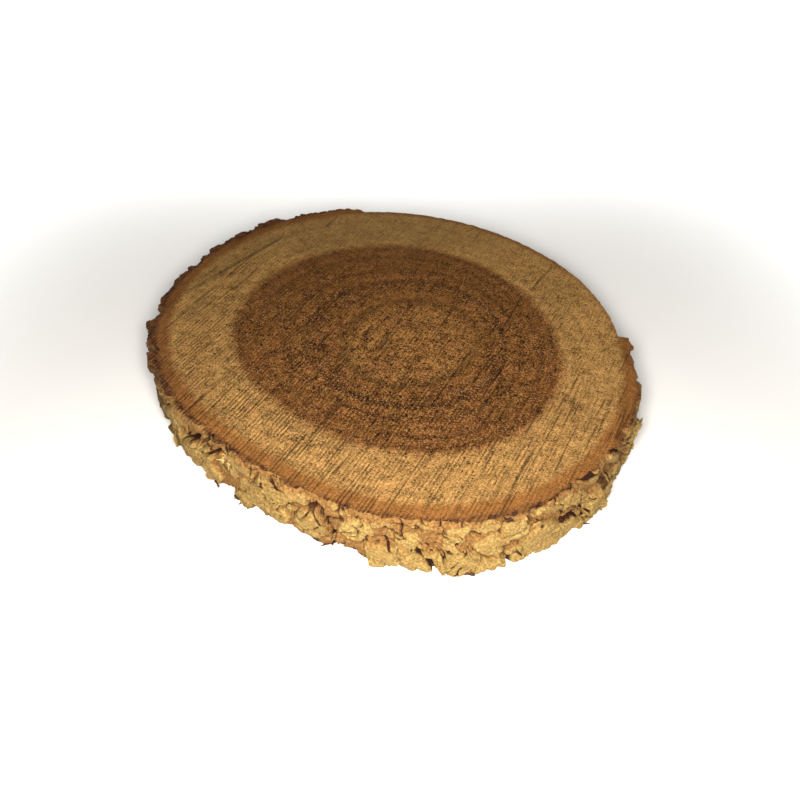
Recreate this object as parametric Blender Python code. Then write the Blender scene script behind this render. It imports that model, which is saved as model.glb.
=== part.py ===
"""A slice sawn across a small log, with its flaky bark still on three quarters of the rim.

The slice lies on its lower sawn face. The origin is under the middle of its box, +Z is up, and -Y
is the front, where the bark is widest to see. Wood and bark grew as one piece, so it is one solid.
"""

import math
import random

import bmesh
import bpy
from mathutils import Vector, noise

MM = 0.001

# The sawn wood, inside the bark
THICKNESS = 13.2 * MM
WOOD_RADIUS = 46.9 * MM
CENTRE_X = 0.70 * MM
CENTRE_Y = 0.26 * MM
# How the growth is out of round: waves round the rim, and the size of each along 0 and 90 degrees
OUT_OF_ROUND = (
    (1, 0.85 * MM, 1.55 * MM),
    (2, 0.0 * MM, -3.1 * MM),
    (3, -0.7 * MM, 0.35 * MM),
    (4, 0.25 * MM, 0.35 * MM),
)

# The bark, and the stretch at the back right where it has come away
BARK_THICKNESS = 3.9 * MM
BARE_START = math.radians(-3)
BARE_END = math.radians(98)
BREAK_WIDTH = math.radians(1.6)
BREAK_WANDER = math.radians(3.0)
# Towards the two breaks its outer layers have flaked away
BREAK_THINNING = 0.9 * MM
BREAK_TAPER = math.radians(22)
# The bare wood there keeps a thin skin, rippled by fibres that run up the log
BARE_SKIN = 0.5 * MM
BARE_RIPPLE = 0.22 * MM
BARE_GRAIN = 660.0
BARE_STRETCH = 4.0

# The fissures, the ground between the plates, and the shape of a plate
FISSURE_DEPTH = 1.0 * MM
GROUND_ROUGHNESS = 0.35 * MM
GROUND_GRAIN = 330.0
PLATE_SQUARENESS = 2.6
PLATE_EDGE = 0.24
PLATE_CROWN = 0.25 * MM
EDGE_WANDER = 0.25
EDGE_GRAIN = 420.0

# Plates scattered in rows, in millimetres and degrees, each value between a least and a most
PLATE_SEED = 117
PLATE_ROWS = 4
PLATES_ROUND = 42
MISSING_SHARE = 0.10
ROW_OVERHANG = 1.0
ROW_WANDER = 1.1
SPACING_WANDER = 0.32
WIDTHS = (5.6, 9.4)
TALLNESSES = (4.2, 6.6)
TURNS = (-35.0, 35.0)
LIFTS = (-0.5, 0.9)

# Plates placed by hand round the front: angle in degrees, height, width and tallness in millimetres,
# turn in degrees, and how far each stands out in millimetres
FRONT_FROM = 203
FRONT_TO = 344
FRONT_PLATES = (
    (206, 7.7, 6.0, 8.0, 30, 0.4),
    (206, 2.2, 5.4, 5.0, 10, 0.3),
    (212, 12.6, 8.0, 4.4, 20, 0.4),
    (213, 4.2, 8.5, 7.8, 20, 0.8),
    (220, 6.8, 7.5, 4.6, 32, 0.5),
    (224, 13.2, 7.0, 3.4, 0, 0.5),
    (222, 2.4, 6.8, 5.4, 0, 0.5),
    (234, 11.8, 8.5, 4.4, -8, 0.4),
    (243, 9.5, 11.0, 5.4, 10, 0.5),
    (236, 5.1, 8.0, 6.4, 8, 0.3),
    (233, 1.4, 5.4, 3.6, 0, 0.5),
    (244, 4.2, 7.4, 4.8, -10, 0.6),
    (250, 11.4, 6.4, 4.0, 0, -0.1),
    (253, 5.8, 8.0, 7.0, 12, 0.8),
    (261, 12.4, 5.0, 2.6, 0, -0.3),
    (264, 8.8, 5.6, 6.2, -15, 0.2),
    (269, 11.6, 4.4, 2.8, 20, -0.1),
    (269, 3.4, 6.0, 6.6, 25, 1.0),
    (274, 7.4, 5.0, 4.6, -10, 0.0),
    (276, 3.0, 8.4, 6.4, 0, 0.8),
    (276, 12.6, 6.0, 2.6, 8, -0.4),
    (283, 9.8, 4.0, 8.0, -25, 0.1),
    (284, 2.4, 7.4, 6.6, -20, 1.3),
    (289, 6.6, 5.8, 5.8, 20, 1.0),
    (288, 12.6, 6.4, 4.0, 0, 0.5),
    (294, 9.9, 6.0, 5.4, 55, 0.7),
    (290, 1.4, 7.8, 3.8, 0, 1.4),
    (296, 1.6, 4.4, 4.4, 15, 0.7),
    (300, 4.0, 8.0, 7.6, -18, 0.9),
    (296, 13.2, 9.0, 4.4, 0, 0.8),
    (303, 1.4, 5.0, 4.4, 0, 0.9),
    (303, 11.6, 7.0, 4.6, -10, 0.0),
    (308, 8.4, 7.5, 4.6, -30, -0.1),
    (307, 2.4, 7.0, 5.2, -8, 0.6),
    (312, 1.2, 5.0, 3.8, 10, 1.0),
    (312, 12.8, 6.0, 3.4, -12, 0.1),
    (316, 4.4, 7.0, 8.4, -35, 1.4),
    (322, 10.8, 6.0, 4.4, -40, 0.2),
    (322, 13.2, 7.0, 4.0, 0, 0.4),
    (325, 3.2, 5.0, 5.0, 0, 0.4),
    (331, 11.8, 6.6, 4.0, 10, 0.4),
    (333, 6.8, 6.4, 6.4, -20, 0.9),
    (333, 1.6, 7.0, 4.4, 0, 0.8),
    (338, 13.2, 6.0, 3.0, 0, 0.3),
    (341, 9.6, 6.0, 6.0, 15, 0.4),
    (341, 3.8, 6.4, 6.0, -10, 0.4),
)

# Where a flake has broken off the edge: angle in degrees, height, width and tallness in millimetres
CHIPS = (
    (228, 0.2, 4.4, 3.4),
    (247, 0.0, 6.0, 2.4),
    (261, 0.0, 5.0, 4.0),
    (324, 0.0, 4.0, 3.6),
    (194, 0.0, 8.0, 7.0),
    (172, 13.2, 4.4, 5.0),
    (186, 12.8, 3.0, 3.4),
    (128, 0.0, 6.0, 4.0),
    (150, 13.2, 3.4, 2.6),
    (351, 0.0, 5.0, 4.4),
)
CHIP_FLOOR = 0.8

# How finely the rim is divided, and how sharp an edge stays sharp when it is shaded
COLUMNS = 336
ROWS = 14
SHARP_ANGLE = math.radians(40)

WOOD_COLOUR = (0.33, 0.19, 0.085, 1.0)
WOOD_ROUGHNESS = 0.85


def smooth_step(value):
    """0 below 0, 1 above 1, and an even S between them."""
    value = min(1.0, max(0.0, value))
    return value * value * (3 - 2 * value)


def turn_between(angle, other):
    """The angle less the other, brought to within half a turn."""
    return (angle - other + math.pi) % (2 * math.pi) - math.pi


def on_drum(angle, height):
    """A point on a plain drum, where noise is read so that it meets itself round the rim."""
    return Vector((WOOD_RADIUS * math.cos(angle), WOOD_RADIUS * math.sin(angle), height))


def along_rim(angle, other):
    """How far round the outside of the bark one angle is from another."""
    return turn_between(angle, other) * (WOOD_RADIUS + BARK_THICKNESS)


def wood_radius(angle):
    """How far the sapwood reaches from the middle."""
    waves = sum(
        along * math.cos(count * angle) + across * math.sin(count * angle)
        for count, along, across in OUT_OF_ROUND
    )
    return WOOD_RADIUS + waves


def plate(angle, height, width, tallness, turn, lift):
    """One plate of bark, in metres and radians."""
    return {
        "angle": math.radians(angle),
        "height": height * MM,
        "half_width": width * MM / 2,
        "half_tallness": tallness * MM / 2,
        "turn": math.radians(turn),
        "lift": lift * MM,
    }


def scattered_plates():
    """Plates in uneven rows round the rest of the rim, with a few missing."""
    draw = random.Random(PLATE_SEED)
    row_step = (THICKNESS / MM + 2 * ROW_OVERHANG) / (PLATE_ROWS - 1)
    found = []
    for row in range(PLATE_ROWS):
        for place in range(PLATES_ROUND):
            share = place + (row % 2) / 2 + draw.uniform(-SPACING_WANDER, SPACING_WANDER)
            angle = 360 * share / PLATES_ROUND
            height = row * row_step - ROW_OVERHANG + draw.uniform(-ROW_WANDER, ROW_WANDER)
            width = draw.uniform(*WIDTHS)
            tallness = draw.uniform(*TALLNESSES)
            turn = draw.uniform(*TURNS)
            lift = draw.uniform(*LIFTS)
            kept = draw.random() > MISSING_SHARE
            at_the_front = FRONT_FROM < angle % 360 < FRONT_TO
            if kept and not at_the_front:
                found.append(plate(angle, height, width, tallness, turn, lift))
    return found


PLATES = [plate(*row) for row in FRONT_PLATES] + scattered_plates()


def reach_in_plate(one, angle, height):
    """How far out in a plate a point is: 0 in its middle, 1 on its edge."""
    along = along_rim(angle, one["angle"])
    up = height - one["height"]
    cosine = math.cos(one["turn"])
    sine = math.sin(one["turn"])
    across = abs(along * cosine + up * sine) / one["half_width"]
    rise = abs(up * cosine - along * sine) / one["half_tallness"]
    return (across**PLATE_SQUARENESS + rise**PLATE_SQUARENESS) ** (1 / PLATE_SQUARENESS)


def bark_relief(angle, height):
    """How far the bark stands out from its mean surface, on its highest plate or a fissure's floor."""
    point = on_drum(angle, height)
    floor = -FISSURE_DEPTH + GROUND_ROUGHNESS * noise.noise(point * GROUND_GRAIN)
    edge = 1 + EDGE_WANDER * noise.noise(point * EDGE_GRAIN)
    highest = floor
    for one in PLATES:
        reach = reach_in_plate(one, angle, height)
        if reach < edge:
            crown = one["lift"] - PLATE_CROWN * reach * reach
            raised = floor + (crown - floor) * smooth_step((edge - reach) / PLATE_EDGE)
            highest = max(highest, raised)
    return highest


def past_break(angle):
    """How far round the rim from the nearer end of the bare stretch, and less than 0 inside it."""
    middle = (BARE_START + BARE_END) / 2
    return abs(turn_between(angle, middle)) - (BARE_END - BARE_START) / 2


def bark_cover(angle, height):
    """1 where the bark is whole, 0 where it has come away or a flake has broken off."""
    wander = noise.noise(on_drum(angle, height) * EDGE_GRAIN)
    cover = smooth_step((past_break(angle) + BREAK_WANDER * wander) / BREAK_WIDTH)
    for chip_angle, chip_height, width, tallness in CHIPS:
        along = along_rim(angle, math.radians(chip_angle)) / (width * MM / 2)
        rise = (height - chip_height * MM) / (tallness * MM / 2)
        past_floor = math.hypot(along, rise) + EDGE_WANDER * wander - CHIP_FLOOR
        cover *= smooth_step(past_floor / PLATE_EDGE)
    return cover


def rim_radius(angle, height):
    """The outside of the slice, bark and all."""
    fibre = noise.noise(on_drum(angle, height / BARE_STRETCH) * BARE_GRAIN)
    bare = BARE_SKIN + BARE_RIPPLE * fibre
    thinning = BREAK_THINNING * (1 - smooth_step(past_break(angle) / BREAK_TAPER))
    barked = BARK_THICKNESS - thinning + bark_relief(angle, height)
    return wood_radius(angle) + bare + (barked - bare) * bark_cover(angle, height)


def wood_material():
    """Dry sawn wood, seen from far enough for its rings and bark to run together."""
    material = bpy.data.materials.new("wood_and_bark")
    material.use_nodes = True
    shader = material.node_tree.nodes["Principled BSDF"]
    shader.inputs["Base Color"].default_value = WOOD_COLOUR
    shader.inputs["Roughness"].default_value = WOOD_ROUGHNESS
    shader.inputs["Metallic"].default_value = 0.0
    return material


def wood_slice():
    """A drum divided into rows and columns, with its side drawn out to the bark."""
    shape = bmesh.new()
    bmesh.ops.create_cone(
        shape, cap_ends=True, segments=COLUMNS, radius1=1.0, radius2=1.0, depth=THICKNESS
    )
    upright = [edge for edge in shape.edges if edge.verts[0].co.z * edge.verts[1].co.z < 0]
    bmesh.ops.subdivide_edges(shape, edges=upright, cuts=ROWS - 1)
    for vertex in shape.verts:
        angle = math.atan2(vertex.co.y, vertex.co.x)
        height = vertex.co.z + THICKNESS / 2
        radius = rim_radius(angle, height)
        vertex.co.x = CENTRE_X + radius * math.cos(angle)
        vertex.co.y = CENTRE_Y + radius * math.sin(angle)
        vertex.co.z = height
    bmesh.ops.recalc_face_normals(shape, faces=shape.faces)
    mesh = bpy.data.meshes.new("wood_slice")
    shape.to_mesh(mesh)
    shape.free()
    mesh.shade_smooth()
    mesh.set_sharp_from_angle(angle=SHARP_ANGLE)
    mesh.materials.append(wood_material())
    piece = bpy.data.objects.new("wood_slice", mesh)
    bpy.context.scene.collection.objects.link(piece)
    return piece


def main():
    for old in list(bpy.data.objects):
        bpy.data.objects.remove(old)
    wood_slice()


main()
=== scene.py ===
"""The looks of a wood slice: sawn faces with rings and saw marks, and flaky bark round the rim.

The wood and the bark are modelled the way the real slice came about. A fine log is made first, and
two sawn faces cut it. Every length is in metres unless its name or comment says millimetres.
"""

import math
import random

import bmesh
import bpy
import numpy as np
from bpy.props import FloatProperty, FloatVectorProperty, IntProperty, PointerProperty
from mathutils import Matrix, Vector, noise


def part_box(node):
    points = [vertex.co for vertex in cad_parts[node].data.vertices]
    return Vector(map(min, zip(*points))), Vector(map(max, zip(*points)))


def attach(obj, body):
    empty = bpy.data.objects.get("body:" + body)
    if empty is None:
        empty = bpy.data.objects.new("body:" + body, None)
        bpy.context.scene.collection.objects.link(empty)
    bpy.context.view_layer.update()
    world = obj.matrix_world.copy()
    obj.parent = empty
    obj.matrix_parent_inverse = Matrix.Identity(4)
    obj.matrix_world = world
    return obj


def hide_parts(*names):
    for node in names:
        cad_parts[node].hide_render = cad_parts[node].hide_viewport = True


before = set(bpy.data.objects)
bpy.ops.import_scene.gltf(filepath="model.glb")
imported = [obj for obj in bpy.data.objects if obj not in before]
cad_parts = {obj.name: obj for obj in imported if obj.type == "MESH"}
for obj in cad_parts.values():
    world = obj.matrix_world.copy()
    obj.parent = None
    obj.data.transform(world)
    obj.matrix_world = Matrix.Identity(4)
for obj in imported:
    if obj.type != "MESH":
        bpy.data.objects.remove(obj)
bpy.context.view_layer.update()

bl_info = {
    "name": "Wood slice",
    "version": (1, 0, 0),
    "blender": (4, 5, 0),
    "location": "3D View > Sidebar > Wood slice",
    "description": "Models a slice sawn across a log, with its rings, saw marks and flaky bark",
    "category": "Object",
}

MM = 0.001
NODE = "wood_slice"
LOW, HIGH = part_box(NODE)
THICKNESS = HIGH.z - LOW.z

# The sawn wood, inside the bark, as the solid has it
WOOD_RADIUS = 46.9 * MM
CENTRE_X = 0.70 * MM
CENTRE_Y = 0.26 * MM
OUT_OF_ROUND = (
    (1, 0.85 * MM, 1.55 * MM),
    (2, 0.0 * MM, -3.1 * MM),
    (3, -0.7 * MM, 0.35 * MM),
    (4, 0.25 * MM, 0.35 * MM),
)

# The bark, and the stretch at the back right where it has come away, as the solid has them
BARK_THICKNESS = 3.9 * MM
BARE_START = math.radians(-3)
BARE_END = math.radians(98)
BREAK_WIDTH = math.radians(1.6)
BREAK_WANDER = math.radians(3.0)
BREAK_THINNING = 0.9 * MM
BREAK_TAPER = math.radians(22)
BARE_SKIN = 0.5 * MM
BARE_RIPPLE = 0.22 * MM
BARE_GRAIN = 660.0
BARE_STRETCH = 4.0
PLATE_SQUARENESS = 2.6
EDGE_WANDER = 0.25
EDGE_GRAIN = 420.0

# Plates scattered in rows, in millimetres and degrees, each value between a least and a most
PLATE_SEED = 117
PLATE_ROWS = 4
PLATES_ROUND = 42
MISSING_SHARE = 0.10
ROW_OVERHANG = 1.0
ROW_WANDER = 1.1
SPACING_WANDER = 0.32
WIDTHS = (5.6, 9.4)
TALLNESSES = (4.2, 6.6)
TURNS = (-35.0, 35.0)
LIFTS = (-0.5, 0.9)

# The stretch of the front, in degrees, whose plates are listed one by one. Each has an angle in degrees,
# a height, a width and a tallness in millimetres, a turn in degrees, and how far it stands out in
# millimetres
FRONT_FROM = 203
FRONT_TO = 344
FRONT_PLATES = (
    (206, 7.7, 6.0, 8.0, 30, 0.4),
    (206, 2.2, 5.4, 5.0, 10, 0.3),
    (212, 12.6, 8.0, 4.4, 20, 0.4),
    (213, 4.2, 8.5, 7.8, 20, 0.8),
    (220, 6.8, 7.5, 4.6, 32, 0.5),
    (224, 13.2, 7.0, 3.4, 0, 0.5),
    (222, 2.4, 6.8, 5.4, 0, 0.5),
    (234, 11.8, 8.5, 4.4, -8, 0.4),
    (243, 9.5, 11.0, 5.4, 10, 0.5),
    (236, 5.1, 8.0, 6.4, 8, 0.3),
    (233, 1.4, 5.4, 3.6, 0, 0.5),
    (244, 4.2, 7.4, 4.8, -10, 0.6),
    (250, 11.4, 6.4, 4.0, 0, -0.1),
    (253, 5.8, 8.0, 7.0, 12, 0.8),
    (261, 12.4, 5.0, 2.6, 0, -0.3),
    (264, 8.8, 5.6, 6.2, -15, 0.2),
    (269, 11.6, 4.4, 2.8, 20, -0.1),
    (269, 3.4, 6.0, 6.6, 25, 1.0),
    (274, 7.4, 5.0, 4.6, -10, 0.0),
    (276, 3.0, 8.4, 6.4, 0, 0.8),
    (276, 12.6, 6.0, 2.6, 8, -0.4),
    (283, 9.8, 4.0, 8.0, -25, 0.1),
    (284, 2.4, 7.4, 6.6, -20, 1.3),
    (289, 6.6, 5.8, 5.8, 20, 1.0),
    (288, 12.6, 6.4, 4.0, 0, 0.5),
    (294, 9.9, 6.0, 5.4, 55, 0.7),
    (290, 1.4, 7.8, 3.8, 0, 1.4),
    (296, 1.6, 4.4, 4.4, 15, 0.7),
    (300, 4.0, 8.0, 7.6, -18, 0.9),
    (296, 13.2, 9.0, 4.4, 0, 0.8),
    (303, 1.4, 5.0, 4.4, 0, 0.9),
    (303, 11.6, 7.0, 4.6, -10, 0.0),
    (308, 8.4, 7.5, 4.6, -30, -0.1),
    (307, 2.4, 7.0, 5.2, -8, 0.6),
    (312, 1.2, 5.0, 3.8, 10, 1.0),
    (312, 12.8, 6.0, 3.4, -12, 0.1),
    (316, 4.4, 7.0, 8.4, -35, 1.4),
    (322, 10.8, 6.0, 4.4, -40, 0.2),
    (322, 13.2, 7.0, 4.0, 0, 0.4),
    (325, 3.2, 5.0, 5.0, 0, 0.4),
    (331, 11.8, 6.6, 4.0, 10, 0.4),
    (333, 6.8, 6.4, 6.4, -20, 0.9),
    (333, 1.6, 7.0, 4.4, 0, 0.8),
    (338, 13.2, 6.0, 3.0, 0, 0.3),
    (341, 9.6, 6.0, 6.0, 15, 0.4),
    (341, 3.8, 6.4, 6.0, -10, 0.4),
)

# Where a flake has broken off the edge: angle in degrees, height, width and tallness in millimetres.
# The floor is the share of its reach where it has all gone
CHIPS = (
    (228, 0.2, 4.4, 3.4),
    (247, 0.0, 6.0, 2.4),
    (261, 0.0, 5.0, 4.0),
    (324, 0.0, 4.0, 3.6),
    (194, 0.0, 8.0, 7.0),
    (172, 13.2, 4.4, 5.0),
    (186, 12.8, 3.0, 3.4),
    (128, 0.0, 6.0, 4.0),
    (150, 13.2, 3.4, 2.6),
    (351, 0.0, 5.0, 4.4),
)
CHIP_FLOOR = 0.8

# The deep crevices in the bark: width and depth in millimetres, then the places it runs through,
# each an angle in degrees and a height in millimetres
CREVICES = (
    (1.2, 2.3, (211.6, 6.5), (216.0, 8.8), (220.2, 11.1), (223.8, 12.4), (226.6, 10.5)),
    (0.7, 1.6, (219.6, 7.6), (223.2, 8.6), (226.0, 10.5), (229.5, 7.4)),
    (0.7, 1.4, (202.3, 9.6), (205.9, 11.2)),
    (0.4, 1.0, (229.6, 7.4), (232.2, 6.0), (235.7, 6.6), (239.9, 7.2), (242.0, 6.0), (242.9, 2.6)),
    (0.35, 0.7, (236.2, 9.4), (240.0, 7.3), (246.0, 7.8), (250.0, 9.2)),
    (2.0, 2.2, (253.0, 10.6), (255.8, 10.1)),
    (0.9, 1.5, (256.0, 10.6), (257.5, 8.0), (258.7, 5.4), (257.5, 0.0)),
    (0.6, 1.2, (260.4, 12.9), (261.4, 11.8)),
    (0.5, 1.1, (265.2, 5.4), (266.6, 7.2), (268.4, 7.8)),
    (1.1, 1.8, (267.8, 9.9), (270.8, 9.4)),
    (1.0, 1.6, (273.2, 11.6), (276.2, 10.9)),
    (0.35, 0.8, (265.0, 8.0), (270.0, 7.6), (275.0, 6.2), (280.0, 6.8)),
    (0.9, 1.5, (276.4, 5.6), (278.0, 4.2), (280.0, 0.0)),
    (0.35, 0.6, (281.0, 0.8), (282.0, 2.4), (283.2, 4.0)),
    (0.35, 0.6, (282.4, 0.6), (283.4, 1.9), (284.4, 3.0)),
    (0.3, 0.5, (280.2, 3.6), (281.2, 5.4), (282.6, 7.0)),
    (0.3, 0.5, (283.0, 6.4), (283.8, 8.4), (285.2, 10.2)),
    (0.5, 0.8, (279.6, 9.6), (281.4, 9.2)),
    (0.9, 1.6, (286.4, 9.8), (289.6, 10.1)),
    (0.9, 2.2, (296.4, 12.6), (297.2, 8.2), (295.2, 5.6)),
    (0.6, 1.5, (290.8, 6.6), (293.4, 5.2), (295.2, 5.6)),
    (0.9, 1.5, (288.6, 3.8), (291.6, 4.0)),
    (1.0, 1.1, (304.6, 5.4), (307.3, 5.0), (309.7, 3.9), (313.6, 1.8)),
    (0.7, 1.0, (306.7, 7.2), (310.3, 5.6), (313.3, 3.4)),
    (0.8, 0.8, (309.5, 12.7), (312.4, 12.6), (315.0, 12.2), (317.2, 11.4)),
    (0.8, 1.0, (320.0, 13.2), (322.4, 11.4), (324.4, 9.2)),
    (0.7, 1.0, (319.4, 7.6), (321.4, 5.2), (323.6, 2.6)),
)

# How the growth rings run: millimetres from the pith, the rings' middle along X and Y, and how far
# they are drawn out twice and three times round. The rounds are how often a place's ring is found
# again from the middle of the ring found before
RING_COURSE = (
    (0.0, 5.0, -3.3, 0.0, 0.0),
    (14.0, 4.4, -2.93, 0.6, 0.0),
    (33.0, 1.47, -0.63, -2.29, -0.6),
    (50.0, 0.0, 0.0, -3.99, -0.5),
)
RING_ROUNDS = 8

# Late wood comes on and ends over so many widths of its dark edge, and shows most in front. Each row
# has millimetres from the pith, how wide the edge is, and how dark
LATE_COMES = 2.2
LATE_ENDS = 0.8
LATE_LEAST = 0.85
LATE_IN_FRONT = 0.4
LATE_WOOD = (
    (0.9, 1.0, 0.35),
    (3.2, 0.6, 0.20),
    (6.3, 0.9, 0.38),
    (9.9, 0.7, 0.25),
    (12.4, 0.7, 0.30),
    (14.3, 1.3, 0.64),
    (18.2, 0.8, 0.35),
    (20.8, 1.1, 0.60),
    (24.9, 1.0, 0.46),
    (27.2, 0.6, 0.25),
    (29.6, 1.1, 0.42),
    (32.7, 1.2, 0.35),
    (37.0, 0.8, 0.16),
    (40.6, 0.7, 0.10),
    (44.2, 0.8, 0.20),
)

# How much further out the inner bark's brown band starts on the right
BAND_SHIFT = 0.8 * MM
BAND_SHIFT_AT = math.radians(-15)

# How torn the sawn face is along the rings: millimetres from the pith and a share
TORN_COURSE = (
    (0.0, 1.1),
    (12.0, 1.1),
    (14.5, 0.75),
    (17.0, 1.05),
    (20.0, 1.1),
    (24.0, 0.95),
    (28.0, 0.8),
    (33.0, 0.8),
    (36.0, 1.1),
    (43.0, 1.0),
)

# Dark streaks on the sapwood, a broad darkening over the back of the face, and a hairline crack: start
# and end in millimetres from the middle, half width and strength
STAINS = (
    ((-45.2, 14.6), (-39.0, 22.2), 0.35, 1.1),
    ((-39.0, 22.2), (-27.0, 36.4), 0.35, 1.5),
    ((-45.0, 15.6), (-24.0, 39.8), 1.8, 0.35),
    ((-43.2, 5.9), (-41.0, 10.6), 1.6, 0.35),
    ((-41.5, 25.6), (-33.0, 36.6), 1.8, 0.35),
    # This row darkens a broad band over the back of the face
    ((-34.0, 42.0), (32.0, 44.0), 8.0, 0.45),
)
CRACKS = (
    ((23.4, 0.3), (26.2, 6.0), 0.16, 0.9),
    ((26.2, 6.0), (29.3, 12.8), 0.16, 0.8),
)

# Grains of the sawn face: their width across and length along the saw marks, in millimetres, and
# what is added to the face's seed
MARK_WANDER = (6, 25, 0)
MARK_PHASE = (3, 38, 3)
MARK_SHOWS = (2.0, 7, 7)
THREAD = (1.3, 70, 11)
THREAD_RUNS = (1.1, 8, 13)
TUFTS = (0.75, 0.62, 17)
LUMPS = (1.5, 1.0, 23)

# How far a saw mark wanders sideways, how near 0 the noise is along a fine thread, the broad dips in
# the face, and the patches where it is more torn: their length along X and Y and their seed
MARK_WANDERS = 0.3 * MM
THREAD_WIDTH = 0.06
DIP_DEPTH = 0.05 * MM
DIP_GRAIN = 14 * MM
DIP_SEED = 31
TORN_PATCHES = (9 * MM, 5 * MM, 40.0)

# Where the face's slow changes start, and how far they take: less torn towards the back, less torn
# and with fainter marks towards the right, and with more threads towards the front
BACK_FROM = -5 * MM
BACK_OVER = 45 * MM
RIGHT_OVER = 60 * MM
THREADS_FROM = 5 * MM
THREADS_OVER = 25 * MM

# How deep the fine relief of each finish is
FACE_BUMP = 0.45 * MM
BARK_BUMP = 0.3 * MM
BARE_BUMP = 0.15 * MM
SPLINTER_BUMP = 0.1 * MM
TUFT_BUMP = 0.05 * MM

# The two blocks that cut the log: how far they reach from the middle and past the far face
BLOCK_HALF = 58 * MM
BLOCK_PAST = 4 * MM

# Heights nearer to each other than this count as the same
TOUCHING = 0.01 * MM

# How far the log and its core stand past the two cuts
LOG_OVERHANG = 1 * MM
CORE_OVERHANG = 2 * MM

# A cut can leave specks of fewer points than this beside the piece
SPECK_POINTS = 50

# Edges sharper than these stay sharp
WOOD_SHARP = math.radians(50)
BARK_SHARP = math.radians(60)

# Nothing loose hangs lower than this
LOWEST = 0.1 * MM

# Flakes listed one by one: angle in degrees, height, width and tallness in millimetres, turn in degrees,
# and how far the free end stands off in millimetres
FLAKES = (
    (207.5, 3.4, 3.4, 2.6, 20, 1.0),
    (218.5, 9.9, 4.0, 1.8, 24, 0.9),
    (221.6, 1.6, 2.2, 1.6, 190, 0.8),
    (226.4, 6.4, 3.4, 1.8, 30, 0.9),
    (238.0, 0.9, 3.2, 1.6, 5, 0.9),
    (258.6, 2.4, 2.6, 1.8, 160, 0.9),
    (262.0, 1.6, 2.8, 2.0, 150, 1.1),
    (270.6, 8.2, 3.0, 1.4, -8, 0.7),
    (275.0, 9.4, 2.8, 1.2, -14, 0.7),
    (279.6, 4.6, 2.8, 1.2, -65, 0.9),
    (282.0, 7.4, 3.6, 1.2, -62, 0.8),
    (285.6, 4.2, 2.8, 1.4, -40, 0.9),
    (299.0, 8.0, 2.6, 1.6, 35, 0.8),
    (311.4, 6.4, 4.0, 1.6, -20, 0.7),
    (315.6, 3.4, 3.0, 1.8, -24, 0.7),
    (327.0, 10.2, 3.0, 2.0, 12, 0.5),
    (332.6, 9.0, 2.4, 2.0, 8, 0.8),
    (336.0, 4.6, 3.0, 2.4, 0, 1.0),
)

# Flakes scattered between them: how many degrees they keep from the bark's two ends, the least and
# most of each value in millimetres, shares and degrees, and how thick and how wavy each flake is
FLAKE_FROM_BREAK = 6
FLAKE_HEIGHTS = (0.9, 12.0)
FLAKE_WIDTHS = (1.4, 3.2)
FLAKE_SHAPES = (0.4, 0.8)
FLAKE_TURNS = (-35, 35)
FLAKE_CURLS = (0.2, 0.6)
FLAKE_THICKNESS = 0.28 * MM
FLAKE_WOBBLE = 0.1 * MM

# A splinter or torn fibre: how many sides it has, how thick its tip is as a share of its foot, and
# how often it can bend
STRAND_SIDES = 5
STRAND_TIP = 0.2
STRAND_BENDS = 4

# Splinters at the lower edge: how deep each starts in the bark, how far its tip bends over in
# millimetres, and rows of angle in degrees, height, length and thickness in millimetres, and the way
# each points: round the rim, up and outwards
SPLINTER_ROOT = 0.3 * MM
SPLINTER_BEND = 0.3
SPLINTERS = (
    (222.0, 0.9, 1.9, 0.30, (-0.8, -0.4, 0.5)),
    (231.2, 1.1, 2.0, 0.30, (-0.9, -0.5, 0.3)),
    (232.4, 0.7, 1.4, 0.22, (-0.6, -0.5, 0.5)),
    (236.6, 0.5, 2.2, 0.32, (0.9, -0.3, 0.4)),
    (239.2, 0.4, 1.4, 0.25, (0.8, -0.4, 0.3)),
    (253.4, 0.5, 1.6, 0.24, (0.7, -0.3, 0.4)),
    (257.2, 0.9, 2.3, 0.34, (-0.9, -0.3, 0.3)),
    (258.8, 0.5, 1.6, 0.26, (-0.7, -0.3, 0.5)),
    (272.0, 0.6, 1.5, 0.22, (0.7, -0.3, 0.3)),
    (281.4, 0.5, 1.8, 0.28, (0.8, -0.2, 0.4)),
    (311.0, 0.8, 1.6, 0.26, (0.7, -0.2, 0.6)),
)

# Dark chips at the edges: angle in degrees, height, width and tallness in millimetres, turn in
# degrees, and how far the free end stands off in millimetres
EDGE_CHIPS = (
    (209.0, 2.2, 1.6, 0.9, 30, 0.5),
    (223.6, 0.9, 2.6, 0.9, 12, 0.6),
    (230.8, 1.2, 1.3, 1.2, 60, 0.6),
    (236.4, 0.7, 2.4, 0.9, 14, 0.6),
    (253.6, 0.8, 1.6, 1.1, 20, 0.5),
    (258.6, 0.7, 2.6, 0.8, 168, 0.9),
    (262.0, 0.6, 2.0, 0.9, -12, 0.5),
    (279.0, 0.6, 1.4, 0.8, 20, 0.4),
    (285.4, 0.6, 1.8, 0.8, -10, 0.5),
    (336.2, 6.0, 2.4, 0.7, 4, 1.2),
)

# The tuft of bright torn fibres on the left: the least and most of each value in degrees and
# millimetres, and how deep each fibre starts in the bark
TUFT_ANGLES = (226.4, 229.8)
TUFT_HEIGHTS = (7.4, 11.0)
TUFT_COUNT = 60
TUFT_SEED = 8
TUFT_ROOT = 0.2 * MM
TUFT_LENGTHS = (0.6, 1.7)
TUFT_THICKNESSES = (0.08, 0.14)
TUFT_BENDS = (-0.5, 0.5)

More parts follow.
